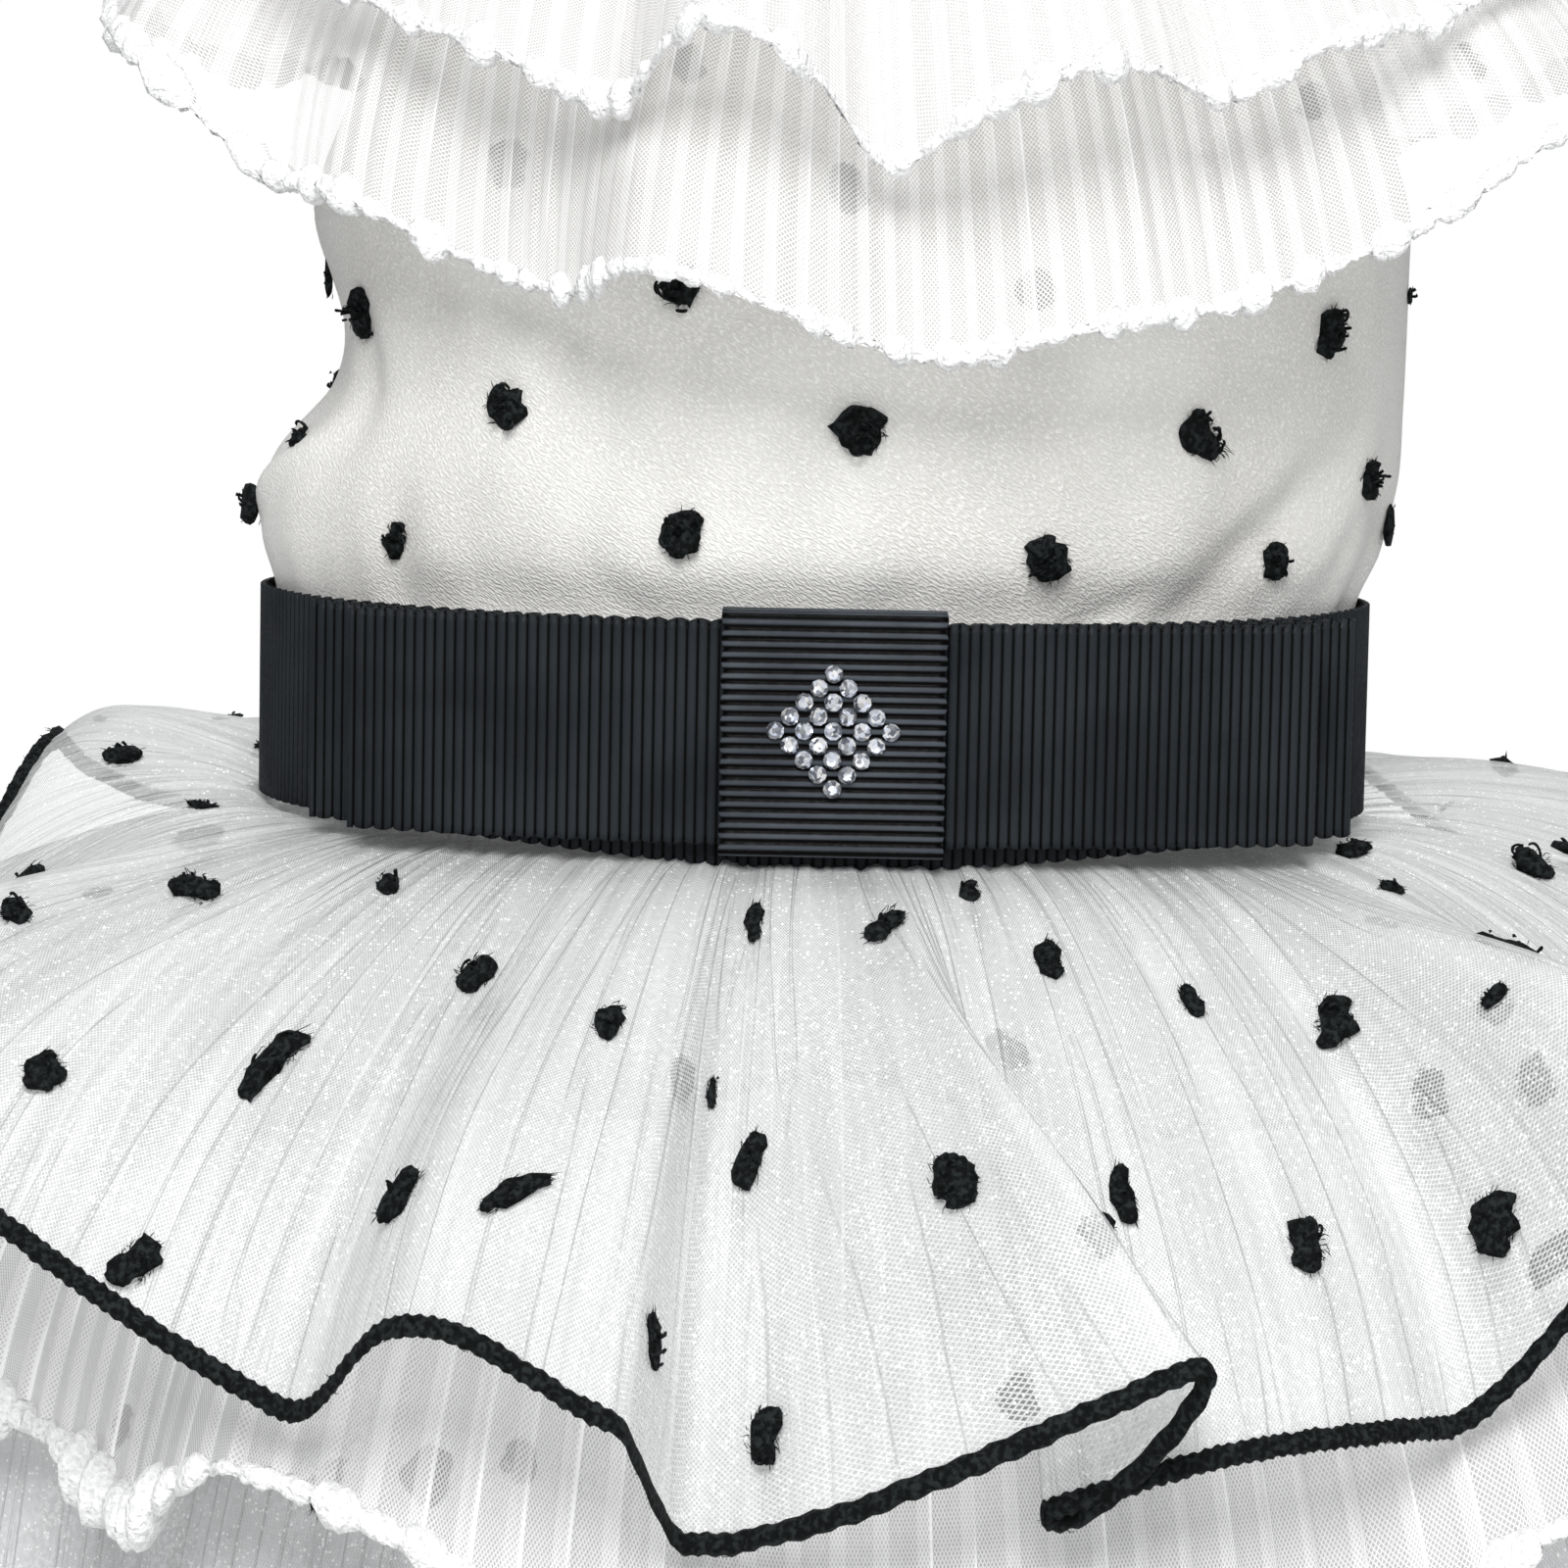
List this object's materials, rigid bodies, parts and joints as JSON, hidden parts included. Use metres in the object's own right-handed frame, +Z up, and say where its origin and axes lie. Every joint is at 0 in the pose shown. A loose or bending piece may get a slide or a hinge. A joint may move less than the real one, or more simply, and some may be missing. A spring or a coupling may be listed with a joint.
{
  "type": "pleated dress",
  "caption": "Small sleeveless dress with pleated neck frills, a ribbon belt with a flat bow and a flared tiered skirt, held in its worn shape.",
  "frame": {"origin": "middle of the neck opening, level with the top edge of the bodice, where the wearer's neck and shoulders hold the dress", "axes": "+Z up along the body, -Y towards the front where the bow is, +X to the picture's right"},
  "size_m": [0.2732, 0.2531, 0.233],
  "materials": {
    "dotted_satin": "ivory satin under a sheer overlay with tufted dots",
    "sheer_organza": "sheer, with a fine sparkle",
    "pleated_tulle": "matt white net in fine pleats",
    "black_ribbon": "ribbed grosgrain",
    "black_thread": "overlocked thread"
  },
  "bodies": {
    "root": {"bodice_front": "dotted_satin", "bodice_back": "dotted_satin", "neck_band": "dotted_satin", "lower_frill_front": "pleated_tulle", "lower_frill_back": "pleated_tulle", "upper_frill_front": "pleated_tulle", "upper_frill_back": "pleated_tulle", "belt_ribbon": "black_ribbon", "bow_under_loops": "black_ribbon", "bow_top_loops": "black_ribbon", "bow_knot": "black_ribbon", "tier_1_front": "sheer_organza", "tier_1_back": "sheer_organza", "tier_2_front": "pleated_tulle", "tier_2_back": "pleated_tulle", "tier_3_front": "sheer_organza", "tier_3_back": "sheer_organza", "tier_1_hem_front": "black_thread", "tier_1_hem_back": "black_thread", "tier_3_hem_front": "black_thread", "tier_3_hem_back": "black_thread"}
  },
  "joints": []
}
